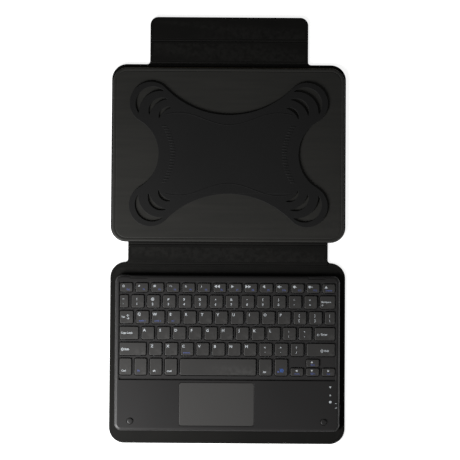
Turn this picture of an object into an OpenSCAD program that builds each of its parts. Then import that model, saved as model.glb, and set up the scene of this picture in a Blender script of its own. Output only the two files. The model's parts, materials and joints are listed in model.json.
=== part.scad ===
// Folding keyboard case for a tablet, lying open with its inside up.
// +X right, +Y from the typing side to the closing flap, +Z up from the table.
// Origin: middle of the open case's footprint, on the table.

/* [Case] */
// Width of the keyboard panel and of the tablet cover
cover_width = 252.6; // [200:0.2:320]
// Depth of the keyboard panel, front edge to fold
panel_depth = 193.9; // [150:0.1:230]
// Depth of the tablet cover, fold to flap
cover_depth = 192; // [160:0.5:230]
// Corner radius of the leather panels
cover_corner = 16.5; // [6:0.5:24]
// Thickness of a finished leather panel
panel_thick = 2.0; // [1.6:0.1:3]
// Thickness of the outer leather
skin_thick = 0.6; // [0.4:0.1:1]
// Thickness of the stiffening board
board_thick = 0.9; // [0.6:0.1:1.4]
// Width of the leather turned over each edge
turned_edge = 3.2; // [2:0.2:6]

/* [Folds] */
// Width of the spine strip
spine_width = 214.8; // [150:0.4:250]
// Distance between the two fold axes of the spine
spine_rise = 20.8; // [18:0.2:30]
// Distance from the lower spine fold to the top of the keyboard panel
fold_inset = 1.8; // [1:0.1:4]
// Half of the soft gap at a fold that closes by a right angle
fold_gap = 1.5; // [1.3:0.1:2.5]
// Half of the soft gap at the fold that leans forward past upright
lean_gap = 2.4; // [1.8:0.1:3]
// Distance from the upper spine fold to the easel crease
easel_leg = 62; // [40:1:100]
// Half of the soft gap at the easel crease
easel_gap = 1.0; // [0.6:0.1:2]

/* [Flap] */
// Width of the closing flap
flap_width = 170.6; // [60:0.2:220]
// Length of each half of the flap, fold to crease
flap_leaf = 24.1; // [20:0.1:40]
// Length of the flap tip beyond its crease
flap_end = 26.1; // [18:0.1:40]
// Corner radius of the flap tip
flap_corner = 8.6; // [2:0.2:20]

/* [Tablet tray] */
// Thickness of the tray plate
tray_thick = 2.0; // [1.6:0.1:3]
// Thickness of the glue sheet under the tray plate
glue_thick = 0.3; // [0.3:0.05:0.6]
// Distance from the tray plate to the side edges of the cover
tray_side = 1.5; // [0.5:0.1:4]
// Distance from the tray plate to the flap edge of the cover
tray_head = 4.0; // [2:0.1:8]
// Distance from the tray plate to the spine edge of the cover
tray_foot = 0.6; // [0.3:0.1:2]
// Corner radius of the tray plate
tray_corner = 15; // [6:0.5:22]

/* [Silicone gripper] */
// How far the pad sits below the middle of the cover
pad_drop = 1.5; // [0:0.1:4]
// Thickness of the gripper pad
pad_thick = 1.5; // [1:0.1:2.5]
// Sideways distance from the pad centre to a lobe centre
lobe_x = 84.1; // [60:0.1:95]
// Distance up or down from the pad centre to a lobe centre
lobe_y = 55.3; // [45:0.1:65]
// Radius of a lobe
lobe_r = 22.8; // [16:0.1:28]
// Direction in which the curved windows bulge, from the pad's long axis
window_lean = 48; // [40:1:56]
// Half height of the pad at its middle
waist_y = 42.7; // [30:0.1:50]
// Half width of the pad at its middle
waist_x = 75.4; // [55:0.1:80]
// Spacing of the finger ribs
rib_pitch = 3.0; // [2:0.1:5]
// Length of a finger rib
rib_length = 5.5; // [3:0.1:9]

/* [Keyboard] */
// Width of the keyboard housing
keyboard_width = 240.8; // [190:0.2:300]
// Depth of the keyboard housing
keyboard_depth = 166.3; // [140:0.1:200]
// Distance from the panel front edge to the housing
keyboard_front = 13.5; // [6:0.5:20]
// Height of the keyboard housing
keyboard_height = 5.5; // [5.2:0.1:8]
// Corner radius of the keyboard housing
keyboard_corner = 7.5; // [3:0.5:12]
// Wall thickness of the upper shell
shell_wall = 1.2; // [1:0.1:2]
// Thickness of the upper shell's top
shell_top = 1.0; // [0.8:0.1:1.5]
// Thickness of the lower shell
floor_thick = 0.8; // [0.6:0.1:1.2]
// Depth of the key well below the bezel
well_drop = 0.8; // [0.4:0.1:1.2]
// Bezel beside the key well
bezel_side = 4.2; // [3:0.1:10]
// Bezel behind the key well
bezel_rear = 6.5; // [6:0.1:12]
// Width of the drain channel along the front of the key well
channel_width = 2.0; // [1:0.1:3]
// Depth of the key well, front to back
well_depth = 105.7; // [90:0.1:130]

/* [Keys] */
// Distance from the well wall to the outermost key tops
well_margin = 1.4; // [1.2:0.1:4]
// Space between neighbouring key tops
key_gap = 4.05; // [3:0.05:6]
// Slope of a key's sides, measured flat
key_slope = 0.7; // [0.3:0.1:1]
// Air gap between a key and its opening
key_clearance = 0.3; // [0.3:0.05:0.6]
// Height of the key tops above the well floor
key_rise = 1.2; // [0.8:0.1:1.6]
// Key travel
key_travel = 1.2; // [0.8:0.1:1.4]
// Depth of the function keys
function_depth = 8.7; // [6:0.1:12]
// Depth of the front row of keys
front_depth = 16.9; // [12:0.1:20]
// Width of the narrow first key of the number row
first_key = 8.3; // [6:0.1:12]
// Width of the wide last key of the number row
last_key = 15.05; // [12:0.05:20]
// Width of the tab key
tab_key = 13.6; // [11:0.1:18]
// Width of the capitals lock key
lock_key = 19.4; // [15:0.1:24]
// Width of the left shift key
shift_key = 27.7; // [20:0.1:32]

/* [Touchpad and controls] */
// Width of the touchpad
touchpad_width = 80; // [50:1:110]
// Depth of the touchpad
touchpad_depth = 45.6; // [30:0.1:48]
// Sideways position of the touchpad centre
touchpad_x = -11.1; // [-30:0.1:30]
// Radius of the two rubber bumpers
bumper_r = 3.2; // [2:0.1:4]
// Distance from the housing side to a bumper's centre
bumper_inset = 17; // [8:0.1:30]
// Distance from the housing side to a screw
screw_inset = 20.4; // [10:0.1:40]
// Distance from the housing side to the middle of a rear slot
slot_inset = 24.9; // [14:0.1:40]
// Travel of the power switch
switch_travel = 2; // [1:0.1:3]

/* [Hidden] */
$fn = 96;
leather = [0.1, 0.1, 0.11];
cloth = [0.2, 0.2, 0.2];
card = [0.45, 0.4, 0.33];
steel = [0.7, 0.7, 0.72];
shell_grey = [0.2, 0.2, 0.2];
key_grey = [0.28, 0.28, 0.29];
rubber_black = [0.12, 0.12, 0.12];
board_green = [0.1, 0.35, 0.2];

fit = 0.1;               // side gap between pieces of one body
eps = 0.01;
over = 1;                // how far a cutter runs past a face
lining_thick = panel_thick - skin_thick - board_thick;

panel_front = -229.5;
panel_back = panel_front + panel_depth;
panel_mid = (panel_front + panel_back) / 2;
spine_fold = panel_back - fold_inset;
back_fold = spine_fold + spine_rise;
cover_front = back_fold + lean_gap + 0.3;
cover_back = cover_front + cover_depth;
cover_mid = (cover_front + cover_back) / 2;
easel_fold = back_fold + easel_leg;
flap_fold = cover_back + 1.2;
flap_start = flap_fold + fold_gap;
flap_crease = flap_fold + flap_leaf;
flap_top = flap_crease + flap_end;
flap_mid = (flap_start + flap_top) / 2;
hem = 1;                 // leather left beside a fold

tray_z = panel_thick + glue_thick;
tray_top = tray_z + tray_thick;
tray_lid = 0.5;          // leather over the tray board
tray_w = cover_width - 2 * tray_side;
tray_front = cover_front + tray_foot;
tray_back = cover_back - tray_head;
tray_mid = (tray_front + tray_back) / 2;
tray_d = tray_back - tray_front;
pad_y = cover_mid - pad_drop;
rib_rise = 0.25;
rib_width = 1.2;
rib_count = 21;
rib_low = -32.4;

kb_z = panel_thick;
kb_top = kb_z + keyboard_height;
kb_front = panel_front + keyboard_front;
kb_back = kb_front + keyboard_depth;
kb_mid = (kb_front + kb_back) / 2;
half_w = keyboard_width / 2;
floor_top = kb_z + floor_thick;
roof_low = kb_top - shell_top;
well_w = keyboard_width - 2 * bezel_side;
well_back = kb_back - bezel_rear;
well_front = well_back - well_depth;
well_mid = (well_back + well_front) / 2;
well_z = kb_top - well_drop;
deck_low = well_z - shell_top;
deck_rim = 1.2;
channel_sink = 0.6;

block = well_w - 2 * well_margin;
left = -block / 2;
letter = (block - first_key - last_key - 13 * key_gap) / 12;
small = (block - 13 * key_gap) / 14;
modifier = letter - 0.6;
back_top = well_back - 2.3;
front_low = well_front + 5.9;
letter_d = (back_top - front_low - function_depth - front_depth - 5 * key_gap) / 4;
key_top = well_z + key_rise;
plate_top = floor_top + 0.4;
film_top = plate_top + 0.2;
dome_top = film_top + 0.15;
key_low = dome_top + key_travel + 0.3;
dome_r = 2.2;

// near edges of the key rows, from the function row forward
row1 = back_top - function_depth;
row2 = row1 - key_gap - letter_d;
row3 = row2 - key_gap - letter_d;
row4 = row3 - key_gap - letter_d;
row5 = row4 - key_gap - letter_d;
row6 = row5 - key_gap - front_depth;
arrow_gap = 1.9;
arrow_d = (front_depth - arrow_gap) / 2;

// left edges and remaining widths
x_num = left + first_key + key_gap;
x_back = x_num + 12 * (letter + key_gap);
x_q = left + tab_key + key_gap;
x_slash = x_q + 12 * (letter + key_gap);
x_a = left + lock_key + key_gap;
x_enter = x_a + 11 * (letter + key_gap);
x_z = left + shift_key + key_gap;
x_shift = x_z + 10 * (letter + key_gap);
x_arrow = left + block - 3 * letter - 2 * key_gap;
x_link = x_arrow - key_gap - letter;
x_alt = x_link - key_gap - letter;
x_space = left + 4 * (modifier + key_gap);

pad_mid_y = (kb_front + 5.8 + well_front - 2.7) / 2;
touch_z = kb_top - 0.2;
touch_thick = 1;
touch_board = 0.8;
bumper_x = half_w - bumper_inset;
bumper_y = kb_front + 10.4;
bumper_sink = 0.6;
bumper_top = kb_top + 1;
light_x = half_w - 10;
light_r = 1.1;
lights = [47.4, 39, 31.8];
slot_x = half_w - slot_inset;
slot_w = 19;
slot_d = 2.7;
slot_sink = 0.5;

switch_y = kb_front + 28.2;
knob_w = 3.2;
knob_low = kb_z + 2.4;
knob_high = kb_z + 3.8;
port_y = kb_front + 13;
port_w = 7.5;
port_low = kb_z + 1.9;
port_high = kb_z + 4.3;
port_wall = 0.3;
screw_x = half_w - screw_inset;
screw_r = 0.8;
boss_r = 2;
battery_left = -half_w + 10;
battery_right = touchpad_x - touchpad_width / 2 - 7.3;
inner_w = keyboard_width - 2 * shell_wall;
inner_d = keyboard_depth - 2 * shell_wall;
inner_r = keyboard_corner - shell_wall;

magnet_w = 20;
magnet_d = 6;
magnet_x = 50;
magnet_y = flap_crease + 10.8;
catch_y = spine_fold + back_fold - flap_fold + magnet_y - flap_crease;

// ---- shared shapes ----

// Rounded rectangle centred on the origin
module rounded(w, d, r) {
  square([w - 2 * r, d], center = true);
  square([w, d - 2 * r], center = true);
  for (x = [-1, 1])
    for (y = [-1, 1])
      translate([x * (w / 2 - r), y * (d / 2 - r)])
        circle(r);
}

// Rectangle across the case between two Y values
module band(w, low, high) {
  translate([-w / 2, low])
    square([w, high - low]);
}

// Slab of the children's outline between two heights
module slab(low, high) {
  translate([0, 0, low])
    linear_extrude(high - low)
      children();
}

// Leather skin: the first outline, hollowed by the second for board and lining
module skin() {
  color(leather)
    difference() {
      slab(0, panel_thick)
        children(0);
      slab(skin_thick, panel_thick + over)
        children(1);
    }
}

module board_layer() {
  color(card)
    slab(skin_thick, skin_thick + board_thick)
      children();
}

module lining_layer() {
  color(cloth)
    slab(panel_thick - lining_thick, panel_thick)
      children();
}

// ---- panel outlines ----

module panel_plan() {
  difference() {
    translate([0, panel_mid])
      rounded(cover_width, panel_depth, cover_corner);
    band(spine_width + 2 * fit, spine_fold - fold_gap, panel_back + over);
  }
}

module panel_pocket(gap = 0) {
  intersection() {
    translate([0, panel_mid])
      rounded(cover_width - 2 * (turned_edge + gap), panel_depth - 2 * (turned_edge + gap),
        cover_corner - turned_edge);
    band(cover_width, panel_front, spine_fold - fold_gap - hem - gap);
  }
}

module spine_plan(inset = 0) {
  band(spine_width - 2 * inset, spine_fold + fold_gap + min(inset, hem),
    back_fold - lean_gap + 0.6 - min(inset, hem));
}

module cover_plan(inset = 0) {
  translate([0, cover_mid])
    rounded(cover_width - 2 * inset, cover_depth - 2 * inset, cover_corner - inset);
}

module lower_plan(inset = 0) {
  intersection() {
    cover_plan(inset);
    band(cover_width, cover_front, easel_fold - easel_gap - min(inset, hem));
  }
}

module upper_plan(inset = 0) {
  intersection() {
    cover_plan(inset);
    band(cover_width, easel_fold + easel_gap + min(inset, hem), cover_back);
  }
}

module flap_plan(inset = 0) {
  translate([0, flap_mid])
    rounded(flap_width - 2 * inset, flap_top - flap_start - 2 * inset, flap_corner - inset);
}

module flap_root_plan(inset = 0) {
  band(flap_width - 2 * inset, flap_start + min(inset, hem),
    flap_crease - fold_gap - min(inset, hem));
}

module flap_tip_plan(inset = 0) {
  intersection() {
    flap_plan(inset);
    band(flap_width, flap_crease + fold_gap + min(inset, hem), flap_top);
  }
}

module magnet_spots(y, gap = 0) {
  for (x = [-1, 0, 1])
    translate([x * magnet_x, y])
      square([magnet_w + 2 * gap, magnet_d + 2 * gap], center = true);
}

// ---- keyboard panel ----

module base_skin() {
  skin() {
    panel_plan();
    panel_pocket();
  }
}

module base_board() {
  board_layer()
    difference() {
      panel_pocket(fit);
      magnet_spots(catch_y, fit);
    }
}

module base_lining() {
  lining_layer()
    panel_pocket(fit);
}

module catch_magnets() {
  color(steel)
    slab(skin_thick, skin_thick + board_thick)
      magnet_spots(catch_y);
}

// ---- keys ----

// One key: top width w, top depth d, left edge x, near edge y
module key_solid(x, y, w, d) {
  mx = x + w / 2;
  my = y + d / 2;
  h = key_top - key_low;
  s = key_slope;
  color(key_grey)
    translate([mx, my, key_low])
      intersection() {
        linear_extrude(h)
          rounded(w + 2 * s, d + 2 * s, 1);
        rotate([90, 0, 0])
          translate([0, 0, -d])
            linear_extrude(2 * d)
              polygon([[-w / 2 - s, -over], [w / 2 + s, -over], [w / 2 + s, h - key_rise],
                [w / 2, h + eps], [-w / 2, h + eps], [-w / 2 - s, h - key_rise]]);
        rotate([90, 0, 90])
          translate([0, 0, -w])
            linear_extrude(2 * w)
              polygon([[-d / 2 - s, -over], [d / 2 + s, -over], [d / 2 + s, h - key_rise],
                [d / 2, h + eps], [-d / 2, h + eps], [-d / 2 - s, h - key_rise]]);
      }
}

// A row of n equal keys
module key_run(n, x, y, w, d) {
  for (i = [0:n - 1])
    key_solid(x + i * (w + key_gap), y, w, d);
}

// Places children at the middle of each key of a run
module at_run(n, x, y, w, d) {
  for (i = [0:n - 1])
    translate([x + i * (w + key_gap) + w / 2, y + d / 2])
      children();
}

module run_openings(n, x, y, w, d) {
  at_run(n, x, y, w, d)
    square([w + 2 * (key_slope + key_clearance), d + 2 * (key_slope + key_clearance)],
      center = true);
}

module openings() {
  run_openings(14, left, row1, small, function_depth);
  run_openings(1, left, row2, first_key, letter_d);
  run_openings(12, x_num, row2, letter, letter_d);
  run_openings(1, x_back, row2, last_key, letter_d);
  run_openings(1, left, row3, tab_key, letter_d);
  run_openings(12, x_q, row3, letter, letter_d);
  run_openings(1, x_slash, row3, left + block - x_slash, letter_d);
  run_openings(1, left, row4, lock_key, letter_d);
  run_openings(11, x_a, row4, letter, letter_d);
  run_openings(1, x_enter, row4, left + block - x_enter, letter_d);
  run_openings(1, left, row5, shift_key, letter_d);
  run_openings(10, x_z, row5, letter, letter_d);
  run_openings(1, x_shift, row5, left + block - x_shift, letter_d);
  run_openings(4, left, row6, modifier, front_depth);
  run_openings(1, x_space, row6, x_alt - key_gap - x_space, front_depth);
  run_openings(2, x_alt, row6, letter, front_depth);
  run_openings(3, x_arrow, row6, letter, arrow_d);
  run_openings(1, x_arrow + letter + key_gap, row6 + arrow_d + arrow_gap, letter, arrow_d);
}

module dome_spots() {
  at_run(14, left, row1, small, function_depth)
    circle(dome_r);
  at_run(1, left, row2, first_key, letter_d)
    circle(dome_r);
  at_run(12, x_num, row2, letter, letter_d)
    circle(dome_r);
  at_run(1, x_back, row2, last_key, letter_d)
    circle(dome_r);
  at_run(1, left, row3, tab_key, letter_d)
    circle(dome_r);
  at_run(12, x_q, row3, letter, letter_d)
    circle(dome_r);
  at_run(1, x_slash, row3, left + block - x_slash, letter_d)
    circle(dome_r);
  at_run(1, left, row4, lock_key, letter_d)
    circle(dome_r);
  at_run(11, x_a, row4, letter, letter_d)
    circle(dome_r);
  at_run(1, x_enter, row4, left + block - x_enter, letter_d)
    circle(dome_r);
  at_run(1, left, row5, shift_key, letter_d)
    circle(dome_r);
  at_run(10, x_z, row5, letter, letter_d)
    circle(dome_r);
  at_run(1, x_shift, row5, left + block - x_shift, letter_d)
    circle(dome_r);
  at_run(4, left, row6, modifier, front_depth)
    circle(dome_r);
  at_run(1, x_space, row6, x_alt - key_gap - x_space, front_depth)
    circle(dome_r);
  at_run(2, x_alt, row6, letter, front_depth)
    circle(dome_r);
  at_run(3, x_arrow, row6, letter, arrow_d)
    circle(dome_r);
  at_run(1, x_arrow + letter + key_gap, row6 + arrow_d + arrow_gap, letter, arrow_d)
    circle(dome_r);
}

module keys_function_row() {
  key_run(14, left, row1, small, function_depth);
}

module key_grave() {
  key_solid(left, row2, first_key, letter_d);
}

module keys_number_row() {
  key_run(12, x_num, row2, letter, letter_d);
}

module key_backspace() {
  key_solid(x_back, row2, last_key, letter_d);
}

module key_tab() {
  key_solid(left, row3, tab_key, letter_d);
}

module keys_upper_letters() {
  key_run(12, x_q, row3, letter, letter_d);
}

module key_backslash() {
  key_solid(x_slash, row3, left + block - x_slash, letter_d);
}

module key_caps() {
  key_solid(left, row4, lock_key, letter_d);
}

module keys_middle_letters() {
  key_run(11, x_a, row4, letter, letter_d);
}

module key_enter() {
  key_solid(x_enter, row4, left + block - x_enter, letter_d);
}

module key_shift_left() {
  key_solid(left, row5, shift_key, letter_d);
}

module keys_lower_letters() {
  key_run(10, x_z, row5, letter, letter_d);
}

module key_shift_right() {
  key_solid(x_shift, row5, left + block - x_shift, letter_d);
}

module keys_modifiers() {
  key_run(4, left, row6, modifier, front_depth);
}

module key_space() {
  key_solid(x_space, row6, x_alt - key_gap - x_space, front_depth);
}

module key_alt_right() {
  key_solid(x_alt, row6, letter, front_depth);
}

module key_connect() {
  key_solid(x_link, row6, letter, front_depth);
}

module key_arrow_up() {
  key_solid(x_arrow + letter + key_gap, row6 + arrow_d + arrow_gap, letter, arrow_d);
}

module keys_arrows_lower() {
  key_run(3, x_arrow, row6, letter, arrow_d);
}

// ---- keyboard housing ----

module screw_spots() {
  for (x = [-screw_x, 0, screw_x])
    for (y = [kb_front + 4, kb_back - 3.5])
      translate([x, y])
        children();
}

module keyboard_bottom_shell() {
  color(shell_grey)
    difference() {
      slab(kb_z, floor_top)
        translate([0, kb_mid])
          rounded(inner_w - 2 * fit, inner_d - 2 * fit, inner_r);
      screw_spots()
        translate([0, 0, kb_z - eps])
          cylinder(r1 = 1.9, r2 = screw_r + fit, h = floor_thick + 2 * eps);
    }
}

module housing_block() {
  difference() {
    slab(kb_z, kb_top)
      translate([0, kb_mid])
        rounded(keyboard_width, keyboard_depth, keyboard_corner);
    slab(kb_z - over, roof_low)
      translate([0, kb_mid])
        rounded(inner_w, inner_d, inner_r);
  }
  slab(deck_low, well_z)
    translate([0, well_mid])
      square([well_w + 2 * deck_rim, well_depth + 2 * deck_rim], center = true);
  screw_spots()
    translate([0, 0, floor_top + fit])
      cylinder(r = boss_r, h = roof_low - floor_top);
}

module keyboard_top_shell() {
  color(shell_grey)
    difference() {
      housing_block();
      slab(well_z, kb_top + over)
        translate([0, well_mid])
          square([well_w, well_depth], center = true);
      slab(well_z - channel_sink, kb_top)
        band(well_w - 2, well_front, well_front + channel_width);
      slab(deck_low - over, kb_top + over)
        openings();
      slab(roof_low - over, kb_top + over)
        translate([touchpad_x, pad_mid_y])
          rounded(touchpad_width + 0.7, touchpad_depth + 0.7, 3);
      for (x = [-1, 1])
        translate([x * bumper_x, bumper_y, kb_top - bumper_sink])
          cylinder(r = bumper_r + 0.5, h = over);
      for (x = [-1, 1])
        slab(kb_top - slot_sink, kb_top + over)
          translate([x * slot_x, kb_back - 2.4])
            square([slot_w, slot_d], center = true);
      for (y = lights)
        translate([light_x, kb_front + y, roof_low - over])
          cylinder(r = light_r + 0.05, h = 2 * over + shell_top);
      translate([half_w - 2 * shell_wall, switch_y - knob_w / 2 - switch_travel / 2 - 0.3,
          knob_low - 0.3])
        cube([3 * shell_wall, knob_w + switch_travel + 0.6, knob_high - knob_low + 0.6]);
      translate([half_w - 2 * shell_wall, port_y - port_w / 2 - 0.2, port_low - 0.1])
        cube([3 * shell_wall, port_w + 0.4, port_high - port_low + 0.2]);
      screw_spots()
        translate([0, 0, floor_top])
          cylinder(r = screw_r + 0.05, h = roof_low - floor_top - 0.4);
    }
}

module key_backing_plate() {
  color(steel)
    slab(floor_top, plate_top)
      translate([0, well_mid])
        square([well_w, well_depth - 2], center = true);
}

module key_membrane() {
  color([0.75, 0.78, 0.8])
    slab(plate_top, film_top)
      translate([0, well_mid])
        square([well_w - 2, well_depth - 4], center = true);
}

module key_domes() {
  color([0.8, 0.8, 0.78])
    slab(film_top, dome_top)
      dome_spots();
}

module circuit_board() {
  color(board_green)
    translate([half_w - 58, kb_front + 8, floor_top])
      cube([55, 43, port_low - floor_top]);
}

module battery() {
  color([0.75, 0.75, 0.78])
    translate([battery_left, kb_front + 10, floor_top])
      cube([battery_right - battery_left, 38, 3]);
}

module charging_port() {
  color(steel)
    difference() {
      translate([half_w - 6, port_y - port_w / 2, port_low])
        cube([5.8, port_w, port_high - port_low]);
      translate([half_w - 5, port_y - port_w / 2 + port_wall, port_low + port_wall])
        cube([5.8, port_w - 2 * port_wall, port_high - port_low - 2 * port_wall]);
    }
}

module indicator_lights() {
  color([0.85, 0.87, 0.9])
    for (y = lights)
      translate([light_x, kb_front + y, roof_low - 0.2])
        cylinder(r = light_r, h = shell_top + 0.2);
}

module rubber_bumpers() {
  color(rubber_black)
    for (x = [-1, 1])
      translate([x * bumper_x, bumper_y, kb_top - bumper_sink])
        cylinder(r = bumper_r, h = bumper_top - kb_top + bumper_sink);
}

module case_screws() {
  color(steel)
    screw_spots() {
      translate([0, 0, kb_z])
        cylinder(r1 = 1.75, r2 = screw_r - 0.05, h = floor_thick);
      translate([0, 0, kb_z + 0.2])
        cylinder(r = screw_r, h = 3.2);
    }
}

module power_switch_body() {
  color(steel)
    translate([half_w - 5.4, switch_y - 4.4, port_low])
      cube([3.4, 8.8, 2.4]);
}

module power_switch_slider() {
  color(rubber_black)
    translate([half_w - 1.6, switch_y - knob_w / 2 - switch_travel / 2, knob_low])
      cube([2.6, knob_w, knob_high - knob_low]);
}

module touchpad() {
  color([0.33, 0.33, 0.34])
    slab(touch_z - touch_thick, touch_z)
      translate([touchpad_x, pad_mid_y])
        rounded(touchpad_width, touchpad_depth, 2.7);
}

module touchpad_board() {
  color(board_green)
    slab(touch_z - touch_thick - touch_board, touch_z - touch_thick)
      translate([touchpad_x, pad_mid_y])
        square([touchpad_width - 4, touchpad_depth - 4], center = true);
}

// ---- spine ----

module spine_skin() {
  skin() {
    spine_plan();
    spine_plan(turned_edge);
  }
}

module spine_board() {
  board_layer()
    spine_plan(turned_edge + fit);
}

module spine_lining() {
  lining_layer()
    spine_plan(turned_edge + fit);
}

// ---- back cover ----

module back_lower_skin() {
  skin() {
    lower_plan();
    lower_plan(turned_edge);
  }
}

module back_lower_board() {
  board_layer()
    lower_plan(turned_edge + fit);
}

module back_lower_lining() {
  lining_layer()
    lower_plan(turned_edge + fit);
}

module back_upper_skin() {
  skin() {
    upper_plan();
    upper_plan(turned_edge);
  }
}

module back_upper_board() {
  color(card)
    slab(skin_thick, panel_thick)
      upper_plan(turned_edge + fit);
}

// ---- tablet tray ----

module tray_plan(inset = 0) {
  translate([0, tray_mid])
    rounded(tray_w - 2 * inset, tray_d - 2 * inset, tray_corner - inset);
}

module tray_adhesive() {
  color(cloth)
    slab(panel_thick, tray_z)
      intersection() {
        tray_plan(4);
        band(cover_width, easel_fold + easel_gap + 2, cover_back);
      }
}

module tray_board() {
  color(card)
    slab(tray_z, tray_top - tray_lid)
      tray_plan(turned_edge + fit);
}

module tray_cover() {
  color([0.22, 0.22, 0.22])
    difference() {
      slab(tray_z, tray_top)
        tray_plan();
      slab(tray_z - over, tray_top - tray_lid)
        tray_plan(turned_edge);
    }
}

// One curved window: span degrees each side of its leaning axis, width at the middle
module crescent(cx, cy, r, width, span) {
  shift = (r * r - (r - width) * (r - width)) / (2 * (r - width - r * cos(span)));
  a = window_lean;
  translate([cx, cy])
    difference() {
      circle(r);
      translate([-shift * cos(a), -shift * sin(a)])
        circle(r - width + shift);
    }
}

module pad_plan() {
  top_gap = lobe_r + (lobe_x * lobe_x + (waist_y - lobe_y) * (waist_y - lobe_y)
    - lobe_r * lobe_r) / (2 * (lobe_y + lobe_r - waist_y)) - lobe_r;
  side_gap = lobe_r + (lobe_y * lobe_y + (waist_x - lobe_x) * (waist_x - lobe_x)
    - lobe_r * lobe_r) / (2 * (lobe_x + lobe_r - waist_x)) - lobe_r;
  top_c = waist_y + top_gap;
  side_c = waist_x + side_gap;
  top_l = top_gap + lobe_r;
  side_l = side_gap + lobe_r;
  t1 = [lobe_x - lobe_x * lobe_r / top_l, lobe_y + (top_c - lobe_y) * lobe_r / top_l];
  t2 = [lobe_x + (side_c - lobe_x) * lobe_r / side_l, lobe_y - lobe_y * lobe_r / side_l];
  difference() {
    union() {
      for (x = [-1, 1])
        for (y = [-1, 1])
          translate([x * lobe_x, y * lobe_y])
            circle(lobe_r);
      polygon([t1, [lobe_x, lobe_y], t2, [t2[0], -t2[1]], [lobe_x, -lobe_y],
        [t1[0], -t1[1]], [-t1[0], -t1[1]], [-lobe_x, -lobe_y], [-t2[0], -t2[1]],
        [-t2[0], t2[1]], [-lobe_x, lobe_y], [-t1[0], t1[1]]]);
    }
    for (y = [-1, 1])
      translate([0, y * top_c])
        circle(top_gap);
    for (x = [-1, 1])
      translate([x * side_c, 0])
        circle(side_gap);
  }
}

module windows() {
  for (x = [0, 1])
    for (y = [0, 1])
      mirror([x, 0])
        mirror([0, y]) {
          crescent(lobe_x - 2.1, lobe_y - 0.9, lobe_r * 0.803, 7.6, 84);
          crescent(lobe_x - 12.0, lobe_y - 8.9, lobe_r * 0.623, 4.5, 66);
          crescent(lobe_x - 18.8, lobe_y - 14.5, lobe_r * 0.439, 3.2, 62);
        }
}

module silicone_gripper() {
  color(rubber_black)
    translate([0, pad_y, 0]) {
      slab(tray_top, tray_top + pad_thick)
        difference() {
          pad_plan();
          windows();
        }
      for (s = [-1, 1])
        for (i = [0:rib_count - 1])
          translate([s * (waist_x - 15.4 + 9 * pow((2 * i / (rib_count - 1)) - 1, 2)),
              rib_low + i * rib_pitch, tray_top + pad_thick + (rib_rise - over) / 2])
            cube([rib_length, rib_width, over + rib_rise], center = true);
    }
}

// ---- closing flap ----

module flap_root_skin() {
  skin() {
    flap_root_plan();
    flap_root_plan(turned_edge);
  }
}

module flap_root_board() {
  board_layer()
    flap_root_plan(turned_edge + fit);
}

module flap_root_lining() {
  lining_layer()
    flap_root_plan(turned_edge + fit);
}

module flap_tip_skin() {
  skin() {
    flap_tip_plan();
    flap_tip_plan(turned_edge);
  }
}

module flap_tip_board() {
  board_layer()
    difference() {
      flap_tip_plan(turned_edge + fit);
      magnet_spots(magnet_y, fit);
    }
}

module flap_tip_lining() {
  lining_layer()
    flap_tip_plan(turned_edge + fit);
}

module flap_magnets() {
  color(steel)
    slab(skin_thick, skin_thick + board_thick)
      magnet_spots(magnet_y);
}

// ---- output ----

base_skin();
base_board();
base_lining();
catch_magnets();
keyboard_bottom_shell();
keyboard_top_shell();
key_backing_plate();
key_membrane();
key_domes();
circuit_board();
battery();
charging_port();
indicator_lights();
rubber_bumpers();
case_screws();
power_switch_body();
power_switch_slider();
touchpad();
touchpad_board();
keys_function_row();
key_grave();
keys_number_row();
key_backspace();
key_tab();
keys_upper_letters();
key_backslash();
key_caps();
keys_middle_letters();
key_enter();
key_shift_left();
keys_lower_letters();
key_shift_right();
keys_modifiers();
key_space();
key_alt_right();
key_connect();
key_arrow_up();
keys_arrows_lower();
spine_skin();
spine_board();
spine_lining();
back_lower_skin();
back_lower_board();
back_lower_lining();
back_upper_skin();
back_upper_board();
tray_adhesive();
tray_board();
tray_cover();
silicone_gripper();
flap_root_skin();
flap_root_board();
flap_root_lining();
flap_tip_skin();
flap_tip_board();
flap_tip_lining();
flap_magnets();
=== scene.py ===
# %% [markdown]
# # A tablet keyboard case, open and flat
# The case is a leather book cover. One half carries a slim keyboard, the other a stiff tray
# with a silicone pad that grips the tablet, and a two-part flap closes it. The CAD model gives
# every place and size; this file adds the leather, the legends and the finishes on top of it.

import json
import math

import bpy
import numpy as np
from mathutils import Matrix, Vector

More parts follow.
